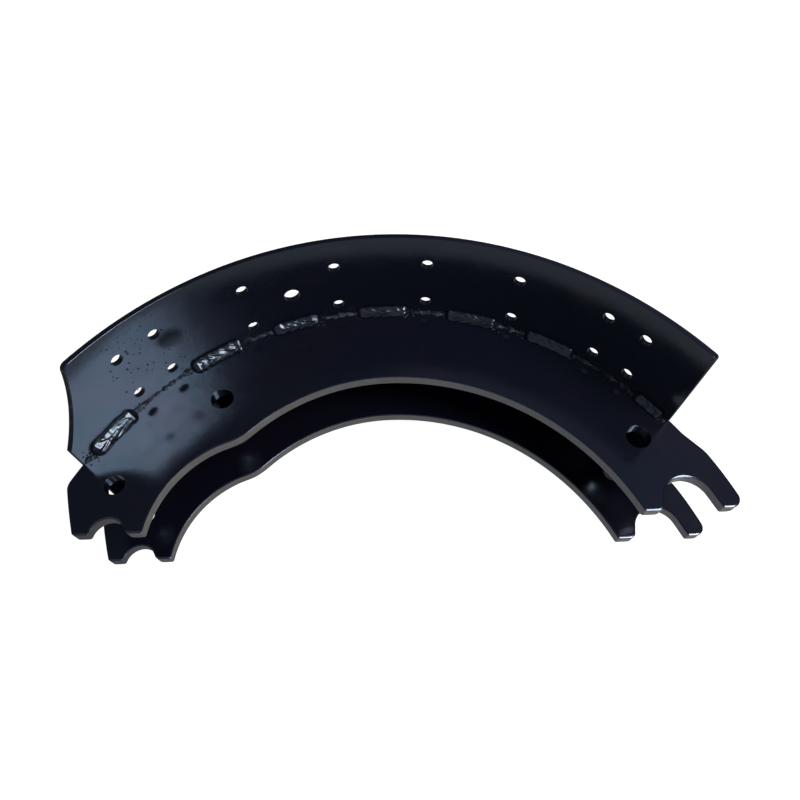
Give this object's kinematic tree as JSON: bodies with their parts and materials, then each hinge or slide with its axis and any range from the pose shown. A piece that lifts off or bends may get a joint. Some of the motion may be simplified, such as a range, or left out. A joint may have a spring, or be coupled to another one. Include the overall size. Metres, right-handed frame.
{
  "type": "brake shoe",
  "caption": "Bare drum brake shoe of a truck: a rolled table on two arched parallel webs with half-round pin and roller seats at their ends.",
  "frame": {"origin": "centre of the anchor pin's seat, midway between the webs", "axes": "+X from the cam end to the anchor end, +Y towards the crown of the lining face, +Z along the drum's axis, which is up as the shoe lies on one rim"},
  "size_m": [0.3557, 0.1414, 0.1778],
  "materials": {
    "paint": "glossy blue-black paint, slightly uneven",
    "weld": "the same paint over rippled weld metal"
  },
  "bodies": {
    "root": {"table": "paint", "web_upper": "paint", "web_lower": "paint", "weld_upper_1": "weld", "weld_upper_2": "weld", "weld_upper_3": "weld", "weld_upper_4": "weld", "weld_upper_5": "weld", "weld_upper_6": "weld", "weld_upper_7": "weld", "weld_lower_1": "weld", "weld_lower_2": "weld", "weld_lower_3": "weld", "weld_lower_4": "weld", "weld_lower_5": "weld", "weld_lower_6": "weld", "weld_lower_7": "weld"}
  },
  "joints": []
}
